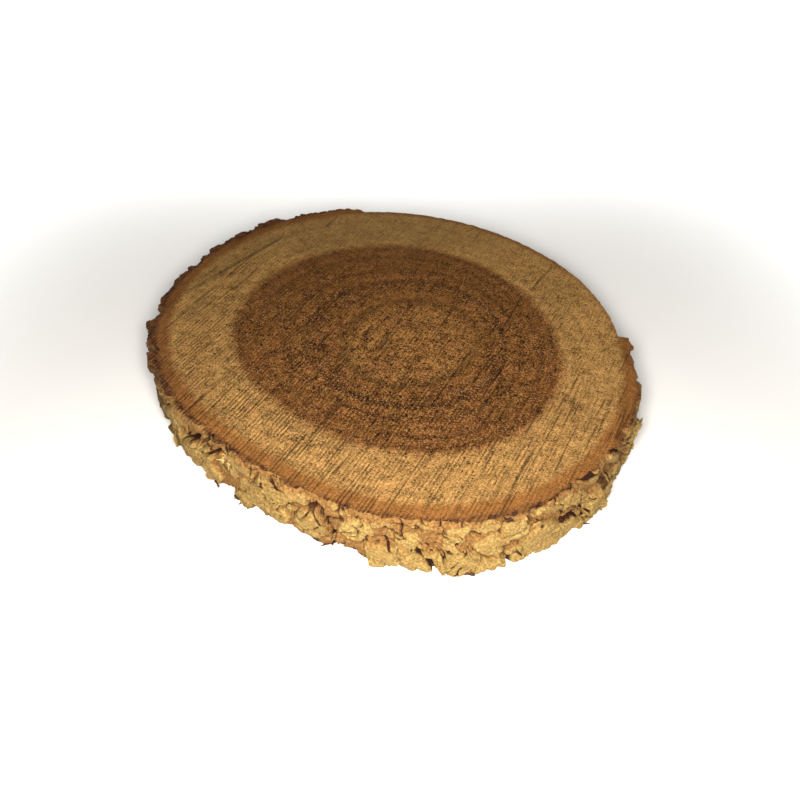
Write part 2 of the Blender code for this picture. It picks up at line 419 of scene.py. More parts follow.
# The light in front, the lights over the floor round the slice, whose power is given for one height,
# the even light all round, the floor and the camera
KEY_PLACE = (1 * MM, -122 * MM, 107 * MM)
KEY_TURN = (math.radians(50), 0.0, math.radians(1))
KEY_SIZE = 45 * MM
KEY_COLOUR = (1.0, 0.95, 0.88)
POOL_PLACES = ((-0.43, 0.1, 0.5), (0.43, 0.1, 0.5), (0.0, 0.29, 0.3), (0.0, -0.42, 0.5))
POOL_HEIGHT = 0.5
POOL_ANGLE = math.radians(73)
POOL_SIZE = 0.08
SKY_COLOUR = (1.0, 1.0, 1.0, 1.0)
FLOOR_HALF = 3.0
FLOOR_COLOUR = (0.86, 0.86, 0.85, 1.0)
SENSOR_WIDTH = 36.0
NEAREST_SEEN = 5 * MM


def smooth_step(value):
    """0 below 0, 1 above 1, and an even S between them."""
    value = np.clip(value, 0.0, 1.0)
    return value * value * (3 - 2 * value)


def turn_between(angle, other):
    """The angle less the other, brought to within half a turn."""
    return (angle - other + math.pi) % (2 * math.pi) - math.pi


def grain(*places):
    """Even noise from -1 to 1, read at places whose unit is the size of its grain."""
    points = np.stack(np.broadcast_arrays(*places), axis=-1)
    return np.array([noise.noise(point) for point in points.tolist()])


def drum_grain(angle, height, fineness, stretch=1.0):
    """Noise read on a plain drum, so that it meets itself round the rim."""
    x = WOOD_RADIUS * np.cos(angle) * fineness
    y = WOOD_RADIUS * np.sin(angle) * fineness
    return grain(x, y, height / stretch * fineness)


def along_rim(angle, other):
    """How far round the outside of the bark one angle is from another."""
    return turn_between(angle, other) * (WOOD_RADIUS + BARK_THICKNESS)


def off_line(x, y, start, end):
    """How far each place is from the straight line between two places."""
    run = (end[0] - start[0], end[1] - start[1])
    length = run[0] ** 2 + run[1] ** 2
    share = np.clip(((x - start[0]) * run[0] + (y - start[1]) * run[1]) / length, 0.0, 1.0)
    return np.hypot(x - start[0] - share * run[0], y - start[1] - share * run[1])


def wood_radius(angle):
    """How far the sapwood reaches from the middle."""
    return WOOD_RADIUS + sum(
        along * np.cos(count * angle) + across * np.sin(count * angle)
        for count, along, across in OUT_OF_ROUND
    )


def plate(angle, height, width, tallness, turn, lift):
    """One plate of bark, in metres and radians."""
    return {
        "angle": math.radians(angle),
        "height": height * MM,
        "half_width": width * MM / 2,
        "half_tallness": tallness * MM / 2,
        "turn": math.radians(turn),
        "lift": lift * MM,
    }


def scattered_plates():
    """Plates in uneven rows round the rest of the rim, with a few missing, as the solid has them."""
    draw = random.Random(PLATE_SEED)
    row_step = (THICKNESS / MM + 2 * ROW_OVERHANG) / (PLATE_ROWS - 1)
    found = []
    for row in range(PLATE_ROWS):
        for place in range(PLATES_ROUND):
            share = place + (row % 2) / 2 + draw.uniform(-SPACING_WANDER, SPACING_WANDER)
            angle = 360 * share / PLATES_ROUND
            height = row * row_step - ROW_OVERHANG + draw.uniform(-ROW_WANDER, ROW_WANDER)
            width = draw.uniform(*WIDTHS)
            tallness = draw.uniform(*TALLNESSES)
            turn = draw.uniform(*TURNS)
            lift = draw.uniform(*LIFTS)
            kept = draw.random() > MISSING_SHARE
            at_the_front = FRONT_FROM < angle % 360 < FRONT_TO
            if kept and not at_the_front:
                found.append(plate(angle, height, width, tallness, turn, lift))
    return found


PLATES = [plate(*row) for row in FRONT_PLATES] + scattered_plates()

# The fine bark follows the solid's plates. Their outlines wander, and their edges step down twice
WARPS = ((1.0 * MM, 250.0), (0.30 * MM, 1100.0))
TERRACE = 0.6
TERRACE_STEP = 0.10
FINE_EDGE = 0.06
FLAT_CROWN = 0.12 * MM
PLATE_TILT = 0.20 * MM
LOOK_SEED = 5

# The dark line at the foot of a plate that stands well above what is beside it: painted shadow in the
# gap, partly a darker broken edge
FOOT = 0.05
FOOT_DEPTH = 0.15 * MM
OUTLINE_GRAIN = 520.0

# The ground between the plates, with fibres that run up the log
GROUND_DEPTH = 0.62 * MM
GROUND_LUMP = 0.32 * MM
GROUND_LUMP_GRAIN = 420.0
GROUND_TONE = 0.4
FIBRE_RELIEF = 0.14 * MM
FIBRE_GRAIN = 1900.0
FIBRE_STRETCH = 5.0

# Lumps and pits all over
SKIN_LUMP = 0.08 * MM
SKIN_LUMP_GRAIN = 620.0
SKIN_PIT = 0.08 * MM
SKIN_PIT_GRAIN = 1900.0

# Thin cracks in patches, between cells that are wider than tall, and how far round the deep crevices
# reach
CRACK_DEPTH = 0.50 * MM
CRACK_CELLS = 230.0
CRACK_FLATTENING = 0.6
CRACK_WIDTH = 0.11
CRACK_PATCH_GRAIN = 170.0
CREVICE_REACH = 14 * MM

# The bark crumbles beside both cuts, in notches at the lower one, and at the upper one in nicks
# where it is old. A brown fringe runs under the upper one
CRUMBLE = 0.55 * MM
CRUMBLE_LEAST = 0.4 * MM
CRUMBLE_MOST = 2.0 * MM
CRUMBLE_GRAIN = 420.0
JAG = 2.0 * MM
JAG_HEIGHT = 2.4 * MM
JAG_GRAIN = 620.0
NICK = 1.5 * MM
NICK_HEIGHT = 2.0 * MM
NICK_GRAIN = 1100.0
FRINGE = 1.5 * MM

# What a broken flake leaves of the bark, the least bark anywhere, and how deep the bark's piece
# dives under the wood's skin where the bark has come away
CHIP_LEAVES = 0.55
LEAST_BARK = 1.3 * MM
BURIED = 0.6 * MM

# The fine bark's columns stand closer together in front
FRONT = math.radians(-90)
CROWDING = 0.42

# Thin scales that peel off the plates, in millimetres and degrees, between a least and a most
SCALE_COUNT = 850
SCALE_SEED = 14
SCALE_WIDTHS = (1.4, 5.2)
SCALE_TALLNESSES = (0.9, 2.8)
SCALE_TURNS = (-30.0, 40.0)
SCALE_LIFTS = (0.06, 0.32)

# How weathered the bark is round the rim, with painted shade on the back and left, away from the lamp:
# an angle in degrees and a share
WEATHER_AND_SHADE = (
    (0, 0.6),
    (90, 0.9),
    (150, 1.0),
    (194, 0.85),
    (208, 0.2),
    (218, 0.0),
    (300, 0.0),
    (322, 0.06),
    (340, 0.25),
    (352, 0.5),
    (360, 0.6),
)


def weathering_and_shade(angle):
    """How weathered the bark is at each angle, with painted shade on the back and left, away from the
    lamp.
    """
    degrees, shares = np.array(WEATHER_AND_SHADE).T
    return np.interp(np.degrees(angle) % 360, degrees, shares)


def warped(angle, height):
    """Places moved about a little, so that nothing looked up there has a smooth outline."""
    along = sum(size * drum_grain(angle, height + 1.0, grains) for size, grains in WARPS)
    up = sum(size * drum_grain(angle, height + 2.0, grains) for size, grains in WARPS)
    return angle + along / (WOOD_RADIUS + BARK_THICKNESS), height + up


def in_plate(one, angle, height):
    """Which places are near a plate, and how far across and up it they are, 1 at its edges."""
    along = along_rim(angle, one["angle"])
    up = height - one["height"]
    widest = 1.4 * (one["half_width"] + one["half_tallness"])
    near = np.flatnonzero((np.abs(along) < widest) & (np.abs(up) < widest))
    cosine = math.cos(one["turn"])
    sine = math.sin(one["turn"])
    across = (along[near] * cosine + up[near] * sine) / one["half_width"]
    rise = (up[near] * cosine - along[near] * sine) / one["half_tallness"]
    power = PLATE_SQUARENESS
    reach = (np.abs(across) ** power + np.abs(rise) ** power) ** (1 / power)
    return near, across, rise, reach


def plate_relief(angle, height):
    """The plates and the ground between them: how far out, how much plate, its tone and its foot line,
    painted shadow and broken edge.
    """
    floor = -GROUND_DEPTH + GROUND_LUMP * drum_grain(angle, height, GROUND_LUMP_GRAIN)
    fibre = drum_grain(angle, height, FIBRE_GRAIN, FIBRE_STRETCH)
    edge = 1 + EDGE_WANDER * drum_grain(angle, height, EDGE_GRAIN)
    relief = floor + FIBRE_RELIEF * fibre
    share = np.zeros_like(angle)
    tone = np.full_like(angle, GROUND_TONE)
    broken_edge_and_shadow = np.zeros_like(angle)
    draw = random.Random(LOOK_SEED)
    for one in PLATES:
        tilt_across = draw.uniform(-PLATE_TILT, PLATE_TILT)
        tilt_up = draw.uniform(-PLATE_TILT, PLATE_TILT)
        own_tone = draw.random()
        near, across, rise, reach = in_plate(one, angle, height)
        lower = smooth_step((edge[near] - reach) / FINE_EDGE)
        upper = smooth_step((edge[near] - TERRACE_STEP - reach) / FINE_EDGE)
        inside = TERRACE * lower + (1 - TERRACE) * upper
        crown = one["lift"] - FLAT_CROWN * reach**2 + tilt_across * across + tilt_up * rise
        raised = floor[near] + (crown - floor[near]) * inside
        foot = smooth_step(1 - (reach - edge[near]) / FOOT)
        foot = np.minimum(foot, smooth_step(1.4 - 4 * inside))
        foot = foot * (relief[near] < crown - FOOT_DEPTH)
        broken_edge_and_shadow[near] = np.maximum(broken_edge_and_shadow[near], foot)
        wins = (raised > relief[near]) & (inside > 0)
        chosen = near[wins]
        relief[chosen] = raised[wins]
        share[chosen] = inside[wins]
        tone[chosen] = own_tone
        broken_edge_and_shadow[chosen] = foot[wins]
    return relief, share, tone, broken_edge_and_shadow


def scale_relief(angle, height, tone):
    """Thin scales that stand off the bark at one edge, and the tone with theirs in it."""
    edge = 1 + 2 * EDGE_WANDER * drum_grain(angle, height, 3 * EDGE_GRAIN)
    relief = np.zeros_like(angle)
    tone = tone.copy()
    draw = random.Random(SCALE_SEED)
    for _ in range(SCALE_COUNT):
        one = plate(
            draw.uniform(0, 360),
            draw.uniform(0, THICKNESS / MM),
            draw.uniform(*SCALE_WIDTHS),
            draw.uniform(*SCALE_TALLNESSES),
            draw.uniform(*SCALE_TURNS),
            draw.uniform(*SCALE_LIFTS),
        )
        peel = draw.uniform(0, 2 * math.pi)
        own_tone = draw.random()
        near, across, rise, reach = in_plate(one, angle, height)
        lifted = 0.6 + 0.4 * (across * math.cos(peel) + rise * math.sin(peel))
        raised = one["lift"] * lifted * smooth_step((edge[near] - reach) / (2 * FINE_EDGE))
        wins = raised > relief[near]
        chosen = near[wins]
        relief[chosen] = raised[wins]
        tone[chosen] = 0.5 * tone[chosen] + 0.5 * own_tone
    return relief, tone


def crevice_cut(angle, height):
    """How deep the listed crevices cut at each place, and how far inside one it is."""
    wander = 1 + 0.5 * drum_grain(angle, height, 3 * EDGE_GRAIN)
    depth = np.zeros_like(angle)
    inside = np.zeros_like(angle)
    reach = WOOD_RADIUS + BARK_THICKNESS
    for width, deepest, *places in CREVICES:
        middle = math.radians(places[len(places) // 2][0])
        along = along_rim(angle, middle)
        near = np.flatnonzero(np.abs(along) < CREVICE_REACH)
        points = [(turn_between(math.radians(a), middle) * reach, h * MM) for a, h in places]
        pairs = zip(points, points[1:])
        off = np.array([off_line(along[near], height[near], *pair) for pair in pairs])
        here = 1 - off.min(axis=0) / (width * MM / 2 * wander[near])
        here = smooth_step(here * 1.6 + 0.5)
        depth[near] = np.maximum(depth[near], here * deepest * MM)
        inside[near] = np.maximum(inside[near], here)
    return depth, inside


def crack_lines(angle, height):
    """Thin cracks between cells that are wider than tall, in patches: 1 in the middle of a crack."""
    x = WOOD_RADIUS * np.cos(angle) * CRACK_CELLS
    y = WOOD_RADIUS * np.sin(angle) * CRACK_CELLS
    places = np.stack((x, y, height * CRACK_CELLS / CRACK_FLATTENING), axis=-1)
    nearest = np.array([noise.voronoi(place)[0][:2] for place in places.tolist()])
    line = 1 - (nearest[:, 1] - nearest[:, 0]) / CRACK_WIDTH
    patch = smooth_step(0.7 + 2.5 * drum_grain(angle, height, CRACK_PATCH_GRAIN))
    return smooth_step(1.5 * line) * patch


def edge_crumble(angle, height):
    """How much of the outer bark has crumbled away beside the two saw cuts."""
    size = np.clip(0.5 + 1.3 * drum_grain(angle, 3.0, CRUMBLE_GRAIN), 0.0, 1.0)
    run = CRUMBLE_LEAST + (CRUMBLE_MOST - CRUMBLE_LEAST) * size
    bite = CRUMBLE * (0.35 + 1.1 * size) * (1 - 0.75 * weathering_and_shade(angle))
    from_top = smooth_step((THICKNESS - height) / run)
    from_bottom = smooth_step(height / (0.5 * run))
    jag = np.maximum(drum_grain(angle, 5.0, JAG_GRAIN), 0.0)
    jag = JAG * jag * (1 - smooth_step(height / JAG_HEIGHT))
    nick = drum_grain(angle, 7.0, NICK_GRAIN)
    nick = np.maximum(nick + 0.5 * drum_grain(angle, 9.0, EDGE_GRAIN / 2), 0.0)
    nick = NICK * nick * weathering_and_shade(angle) * (1 - smooth_step((THICKNESS - height) / NICK_HEIGHT))
    return bite * (1.5 - from_top - 0.5 * from_bottom) + jag + nick


def bark_surface(angle, height):
    """The bark's relief, how much of it is plate, its tone, and its painted shade in crevices, cracks
    and at plate feet.
    """
    moved = warped(angle, height)
    relief, share, tone, broken_edge_and_shadow = plate_relief(*moved)
    broken_edge_and_shadow = broken_edge_and_shadow * smooth_step(0.75 + 1.8 * drum_grain(angle, height, OUTLINE_GRAIN))
    scales, tone = scale_relief(*moved, tone)
    relief = relief + scales + SKIN_LUMP * drum_grain(angle, height, SKIN_LUMP_GRAIN)
    relief = relief + SKIN_PIT * drum_grain(angle, height, SKIN_PIT_GRAIN)
    crack = crack_lines(*moved)
    depth, inside = crevice_cut(*moved)
    relief = relief - CRACK_DEPTH * crack - depth - edge_crumble(angle, height)
    broken = 1 - bark_cover(angle, height)
    # Painted shade in crevices, cracks and at the foot of raised plates, with the bark's own darker
    # colour there, and dark where the bark has broken away
    dark = np.max([inside, 0.8 * crack, 0.8 * broken_edge_and_shadow, 1.7 * broken], axis=0)
    return relief, share, tone, dark


def past_break(angle):
    """How far round the rim from the nearer end of the bare stretch, and less than 0 inside it."""
    middle = (BARE_START + BARE_END) / 2
    return np.abs(turn_between(angle, middle)) - (BARE_END - BARE_START) / 2


def bark_cover(angle, height):
    """1 where the bark is whole, 0 where it has come away, and between where a flake broke off."""
    wander = drum_grain(angle, height, EDGE_GRAIN)
    cover = smooth_step((past_break(angle) + BREAK_WANDER * wander) / BREAK_WIDTH)
    left = np.ones_like(angle)
    for chip_angle, chip_height, width, tallness in CHIPS:
        along = along_rim(angle, math.radians(chip_angle)) / (width * MM / 2)
        rise = (height - chip_height * MM) / (tallness * MM / 2)
        past_floor = np.hypot(along, rise) + EDGE_WANDER * wander - CHIP_FLOOR
        whole = smooth_step(past_floor / (3 * FINE_EDGE))
        left = np.minimum(left, CHIP_LEAVES + (1 - CHIP_LEAVES) * whole)
    return cover * left


def bark_radius(angle, height):
    """The outside of the bark, which dives into the wood where it has come away."""
    relief = bark_surface(angle, height)[0]
    thinning = BREAK_THINNING * (1 - smooth_step(past_break(angle) / BREAK_TAPER))
    under = BARE_SKIN - BURIED
    barked = np.maximum(BARK_THICKNESS - thinning + relief, LEAST_BARK)
    return wood_radius(angle) + under + (barked - under) * bark_cover(angle, height)


def bare_radius(angle, height):
    """The outside of the wood under the bark, with the fibres that run up the log."""
    ripple = drum_grain(angle, height, BARE_GRAIN, BARE_STRETCH)
    fine = drum_grain(angle, height, 3 * BARE_GRAIN, 3 * BARE_STRETCH)
    return wood_radius(angle) + BARE_SKIN + BARE_RIPPLE * (ripple + 0.35 * fine)


def polar(x, y):
    """The angle and radius of places on the slice about the middle of its outline."""
    return np.arctan2(y - CENTRE_Y, x - CENTRE_X), np.hypot(x - CENTRE_X, y - CENTRE_Y)


def growth(x, y):
    """How many millimetres of growth lie between the pith and each place."""
    x = (x - CENTRE_X) / MM
    y = (y - CENTRE_Y) / MM
    stations, middle_x, middle_y, twice, thrice = np.array(RING_COURSE).T
    grown = np.hypot(x, y)
    for _ in range(RING_ROUNDS):
        off_x = x - np.interp(grown, stations, middle_x)
        off_y = y - np.interp(grown, stations, middle_y)
        turn = np.arctan2(off_y, off_x)
        drawn = np.interp(grown, stations, twice) * np.sin(2 * turn)
        drawn = drawn + np.interp(grown, stations, thrice) * np.cos(3 * turn)
        grown = np.maximum(np.hypot(off_x, off_y) - drawn, 0.0)
    return grown


def late_wood(grown, angle):
    """How dark the late wood is: it darkens slowly outwards, ends sharply and shows most in front."""
    dark = np.zeros_like(grown)
    for place, width, strength in LATE_WOOD:
        before = smooth_step(1 - (place - grown) / (LATE_COMES * width))
        after = smooth_step(1 - (grown - place) / (LATE_ENDS * width))
        dark = np.maximum(dark, strength * np.minimum(before, after))
    in_front = smooth_step(1.6 * np.cos(angle - FRONT) - 0.6)
    return dark * (LATE_LEAST + LATE_IN_FRONT * in_front)


def ruled_lines(x, y, rows, peak, softness):
    """How strongly a table's straight lines show on the face: less and less to either side of each."""
    shown = np.zeros_like(x)
    for start, end, half_width, strength in rows:
        off = off_line((x - CENTRE_X) / MM, (y - CENTRE_Y) / MM, start, end)
        shown = np.maximum(shown, strength * smooth_step(peak - off / (softness * half_width)))
    return shown


def saw_places(x, y, sizes):
    """Where places on the face are across and along the saw marks."""
    cosine = math.cos(sizes.saw_direction)
    sine = math.sin(sizes.saw_direction)
    return y * cosine - x * sine, x * cosine + y * sine


def saw_grain(places, kind, seed):
    """Noise whose grain is set by the saw marks: kind gives its width, its length and its own seed."""
    across, along = places
    width, length, own_seed = kind
    return grain(across / (width * MM), along / (length * MM), seed + own_seed)


def roughness(x, y):
    """How torn the sawn face is: 1 at the left, and smoother in front, to the right and at the back."""
    back = (y - CENTRE_Y - BACK_FROM - 0.4 * np.maximum(x, 0.0)) / BACK_OVER
    patches = grain(x / TORN_PATCHES[0], y / TORN_PATCHES[1], TORN_PATCHES[2])
    left = smooth_step(0.35 - (x - CENTRE_X) / RIGHT_OVER)
    torn = (0.55 + 0.45 * smooth_step(0.95 - back + 0.6 * patches)) * (0.85 + 0.15 * left)
    return torn * np.interp(growth(x, y), *np.array(TORN_COURSE).T)


def saw_marks(x, y, sizes, seed):
    """How deep the saw cut at each place, from 0 to 1."""
    places = saw_places(x, y, sizes)
    wander = MARK_WANDERS * saw_grain(places, MARK_WANDER, seed)
    phase = 1.6 * saw_grain(places, MARK_PHASE, seed)
    beat = np.sin(2 * math.pi * (places[0] + wander) / sizes.saw_spacing + phase)
    shows = smooth_step(0.6 + 1.1 * saw_grain(places, MARK_SHOWS, seed))
    clear = smooth_step(0.62 - (0.85 * x + 0.45 * y) / RIGHT_OVER)
    marks = (0.5 + 0.5 * beat) ** 4 * shows * (0.3 + 0.7 * clear)
    thread = np.abs(saw_grain(places, THREAD, seed)) / THREAD_WIDTH
    near = 0.35 * smooth_step((-y - THREADS_FROM) / THREADS_OVER)
    runs = smooth_step(0.15 + near + 1.5 * saw_grain(places, THREAD_RUNS, seed))
    marks = np.maximum(marks, smooth_step(1.4 - thread) * runs)
    return np.maximum(marks * roughness(x, y), ruled_lines(x, y, CRACKS, 1.5, 1.0))


def sawn_depth(x, y, sizes, seed):
    """How far a sawn face lies below its highest fibres."""
    places = saw_places(x, y, sizes)
    tufts = 0.7 * saw_grain(places, TUFTS, seed) + 0.7 * saw_grain(places, LUMPS, seed)
    dip = DIP_DEPTH * (1 + grain(x / DIP_GRAIN, y / DIP_GRAIN, seed + DIP_SEED))
    marks = sizes.saw_depth * saw_marks(x, y, sizes, seed)
    depth = marks + sizes.fuzz * (1 - tufts * roughness(x, y))
    return np.maximum(depth + dip, 0.0)


class Value:
    """A shader socket that takes part in sums, each of which adds its Math node."""

    def __init__(self, finish, socket):
        self.finish = finish
        self.socket = socket

    def combined(self, operation, first, second):
        return self.finish.node("ShaderNodeMath", {"operation": operation}, {0: first, 1: second})

    def __add__(self, other):
        return self.combined("ADD", self, other)

    def __mul__(self, other):
        return self.combined("MULTIPLY", self, other)

    def __sub__(self, other):
        return self.combined("SUBTRACT", self, other)

    def __rsub__(self, other):
        return self.combined("SUBTRACT", other, self)

    __radd__ = __add__


class Finish:
    """A material whose nodes are added by name, with their settings and then their sockets."""

    def __init__(self, name, roughness, gloss):
        self.material = bpy.data.materials.new(name)
        self.material.use_nodes = True
        self.tree = self.material.node_tree
        self.shader = self.tree.nodes["Principled BSDF"]
        self.shader.inputs["Roughness"].default_value = roughness
        self.shader.inputs["Specular IOR Level"].default_value = gloss

    def fill(self, socket, value):
        if isinstance(value, Value):
            self.tree.links.new(value.socket, socket)
        else:
            socket.default_value = value

    def node(self, kind, settings=None, sockets=None, output=0):
        made = self.tree.nodes.new(kind)
        for name, value in (settings or {}).items():
            setattr(made, name, value)
        for name, value in (sockets or {}).items():
            self.fill(made.inputs[name], value)
        return Value(self, made.outputs[output])

    def attribute(self, name):
        """A value that the mesh carries at its points."""
        return self.node("ShaderNodeAttribute", {"attribute_name": name}, output="Fac")

    def step(self, value, low, high):
        """0 below low, 1 above high, and an even S between them."""
        settings = {"interpolation_type": "SMOOTHSTEP"}
        sockets = {"Value": value, "From Min": low, "From Max": high}
        return self.node("ShaderNodeMapRange", settings, sockets)

    def mix(self, share, first, second):
        """One colour turning into another."""
        return self.node("ShaderNodeMix", {"data_type": "RGBA"}, {0: share, 6: first, 7: second}, 2)

    def shaded(self, colour, share):
        """A colour made darker or lighter."""
        sockets = {0: colour, "Scale": share}
        return self.node("ShaderNodeVectorMath", {"operation": "SCALE"}, sockets)

    def noise(self, lengths, turn=0.0, detail=2.0, roughness=0.5):
        """Noise whose grain has these lengths, in millimetres, along its own axes."""
        place = self.node("ShaderNodeTexCoord", output="Object")
        settings = {"vector_type": "TEXTURE"}
        scale = [length * MM for length in lengths]
        sockets = {"Vector": place, "Rotation": (0.0, 0.0, turn), "Scale": scale}
        turned = self.node("ShaderNodeMapping", settings, sockets)
        sockets = {"Vector": turned, "Scale": 1.0, "Detail": detail, "Roughness": roughness}
        return self.node("ShaderNodeTexNoise", {}, sockets)

    def ready(self, colour, height, distance):
        """The material, once it has its colour and a relief of this height in shares of a distance."""
        self.fill(self.shader.inputs["Base Color"], colour)
        sockets = {"Height": height, "Distance": distance, "Strength": 1.0}
        self.fill(self.shader.inputs["Normal"], self.node("ShaderNodeBump", {}, sockets))
        return self.material


def wood_colour(finish, colours, turn, waver):
    """The wood's colour from pith to bark, and a share: 0 in its heart and 1 in its sapwood."""
    grown = finish.attribute("growth")
    patches = finish.noise((5, 5, 5), turn, 3)
    heart = finish.mix(finish.step(grown, 12.4, 16.6), colours.core[:], colours.heartwood[:])
    heart = finish.mix(finish.step(grown + waver, 29.8, 32.0) * 0.2, heart, colours.blush[:])
    sap = finish.step(grown + waver * 2.4, 32.4, 35.6)
    wood = finish.mix(sap, heart, colours.sapwood[:])
    wood = finish.mix(finish.step(patches, 0.45, 0.65) * (0.45 - sap * 0.3), wood, colours.blush[:])
    wood = finish.shaded(wood, 1 - finish.attribute("late_wood") * 0.8)
    return finish.mix(finish.attribute("stain") * 0.62, wood, colours.stain[:]), sap


def rim_colour(finish, colours, wood, waver):
    """That colour with the sawn bark's two layers round it, and a share: 0 in wood and 1 in bark."""
    beyond = finish.attribute("beyond_wood")
    # The bark's band darkens towards the back and left: partly weathering, partly painted shade on the
    # side away from the lamp
    aged_and_shaded = finish.attribute("weathering_and_shade")
    blotch = finish.noise((9, 9, 9), detail=3)
    inner = finish.step(beyond + waver * 1.6, -2.1, 0.1)
    dark = finish.step(beyond + waver * 1.6 + aged_and_shaded * 0.4, 1.2, 2.2) * (0.35 + blotch * 0.5 + aged_and_shaded * 0.2)
    comes = finish.step(finish.noise((1.5, 1.5, 1.5), detail=2), 0.48, 0.6)
    line = finish.step(beyond + waver * 2.4 + aged_and_shaded * 0.3, 1.9, 2.4) * comes
    crumbs = finish.step(beyond + waver * 3.2, 2.7, 3.4) * (1 - aged_and_shaded)
    band = finish.mix(aged_and_shaded * 0.3, colours.inner_bark[:], colours.outer_bark[:])
    face = finish.mix(inner, wood, band)
    face = finish.mix(dark * 0.7 + line * 0.6, face, colours.outer_bark[:])
    face = finish.mix(crumbs, face, colours.crumbs[:])
    return finish.shaded(face, 0.8 + blotch * 0.4), inner


def sawn_finish(sizes, colours):
    """The sawn face: the wood's rings, the bark's two layers, saw marks and torn fibres, with painted
    light and shade on the fibres and in the saw grooves.
    """
    finish = Finish("sawn_face", 0.85, 0.08)
    turn = sizes.saw_direction
    torn = finish.attribute("roughness")
    waver = finish.noise((2.6, 2.6, 2.6), detail=4, roughness=0.6) - 0.5
    specks = finish.noise((0.20, 0.30, 0.4), turn, 1)
    lumps = finish.noise((1.1, 1.9, 2.0), turn, 3, 0.65)
    streaks = finish.noise((3, 0.3, 1), turn, 2)

    wood, sap = wood_colour(finish, colours, turn, waver)
    face, inner = rim_colour(finish, colours, wood, waver)
    fuzzy = torn * (1 - inner * 0.5) * (1.4 - sap * 0.55)
    # Specks, streaks and lumps lighten and darken the face: partly the wood's own uneven tone, partly
    # painted light and shade on its torn fibres
    hatch = finish.step(streaks, 0.34, 0.66)
    speckle_tone_and_shade = finish.step(specks, 0.28, 0.66) * 1.4 + hatch * 0.55 - 1.0
    speckle_tone_and_shade = speckle_tone_and_shade + finish.step(lumps, 0.3, 0.7) * 0.7 - 0.35
    face = finish.shaded(face, 1 + speckle_tone_and_shade * fuzzy)
    # Pale torn fibres, lightened further as painted highlights where they would catch the light
    painted_glint = finish.step(specks, 0.58, 0.72) * fuzzy
    face = finish.mix(painted_glint * 0.65, face, colours.painted_glint[:])
    # Painted shade in the saw grooves, the fine threads and the hairline crack
    face = finish.shaded(face, 1 - finish.attribute("mark") * 0.82)
    return finish.ready(face, (specks * 0.7 + lumps + streaks * 0.3) * torn, FACE_BUMP)


def bark_finish(colours):
    """The bark's outside: pale plates, brown ground between them, and crevices darkened by painted
    shade.
    """
    finish = Finish("bark_skin", 0.9, 0.1)
    share = finish.attribute("plate")
    tone = finish.attribute("tone")
    crevice_shade = finish.attribute("crevice_shade")
    cloud = finish.noise((2.2, 2.2, 2.2), detail=4, roughness=0.6)
    fine = finish.noise((0.45, 0.45, 0.45), detail=3, roughness=0.65)
    fibres = finish.noise((0.35, 0.35, 2.0), detail=2)

    skin = finish.mix(tone, colours.plate_dull[:], colours.plate[:])
    skin = finish.mix(finish.step(cloud, 0.5, 0.68) * 0.7, skin, colours.plate_brown[:])
    ground = finish.mix(finish.step(fibres, 0.35, 0.65), colours.ground[:], colours.ground_pale[:])
    bark = finish.mix(finish.step(share + (cloud - 0.5) * 0.8, 0.25, 0.8), ground, skin)
    # The bark darkens towards the back and left: partly weathering, partly painted shade on the side
    # away from the lamp
    aged_and_shaded = finish.attribute("weathering_and_shade") * (0.8 + finish.step(cloud, 0.35, 0.6) * 0.2)
    bark = finish.mix(aged_and_shaded, bark, colours.weathering_and_shade[:])
    # Painted shade deep in the crevices and cracks and at the feet of the plates
    deep = finish.step(crevice_shade + (cloud + fine - 1.0) * 0.8, 0.35, 0.85)
    bark = finish.mix(deep, bark, colours.crevice_shade[:])
    bark = finish.shaded(bark, 0.6 + finish.step(fine, 0.3, 0.7) * 0.8)
    return finish.ready(bark, fine + cloud * 0.8 + fibres * 0.5, BARK_BUMP)


def bare_finish(colours):
    """The outside of the bare wood, brown where the growing layer has dried on it."""
    finish = Finish("bare_side", 0.85, 0.1)
    fibres = finish.noise((0.35, 0.35, 5), detail=3)
    cloud = finish.noise((4, 4, 6), detail=3)
    side = finish.mix(finish.step(cloud, 0.35, 0.65), colours.bare[:], colours.inner_bark[:])
    return finish.ready(finish.shaded(side, 0.5 + fibres), fibres, BARE_BUMP)


def plain_finish(name, colour, length, depth):
    """Splinters and fibres: one colour with the light and dark of its own grain."""
    finish = Finish(name, 0.9, 0.1)
    fine = finish.noise((length, length, length), detail=3, roughness=0.6)
    return finish.ready(finish.shaded(colour[:3], 0.5 + fine), fine, depth)


def material(name, make, *arguments):
    """The material of this name, made the first time that it is asked for."""
    return bpy.data.materials.get(name) or make(*arguments)


def to_object(shape, name, materials):
    """A piece from a finished bmesh, at the origin, with its place in its mesh."""
    mesh = bpy.data.meshes.new(name)
    shape.to_mesh(mesh)
    shape.free()
    for one in materials:
        mesh.materials.append(one)
    piece = bpy.data.objects.new(name, mesh)
    bpy.context.scene.collection.objects.link(piece)
    return piece


def points_of(mesh):
    """The mesh's points, as three rows."""
    flat = np.empty(len(mesh.vertices) * 3)
    mesh.vertices.foreach_get("co", flat)
    return flat.reshape(-1, 3).T.copy()


def move_points(mesh, places):
    mesh.vertices.foreach_set("co", np.stack(places, axis=-1).ravel())
    mesh.update()


def carry(mesh, name, values):
    """Stores a value at each point of the mesh, for its material."""
    store = mesh.attributes.new(name, "FLOAT", "POINT")
    store.data.foreach_set("value", values.astype(np.float32))


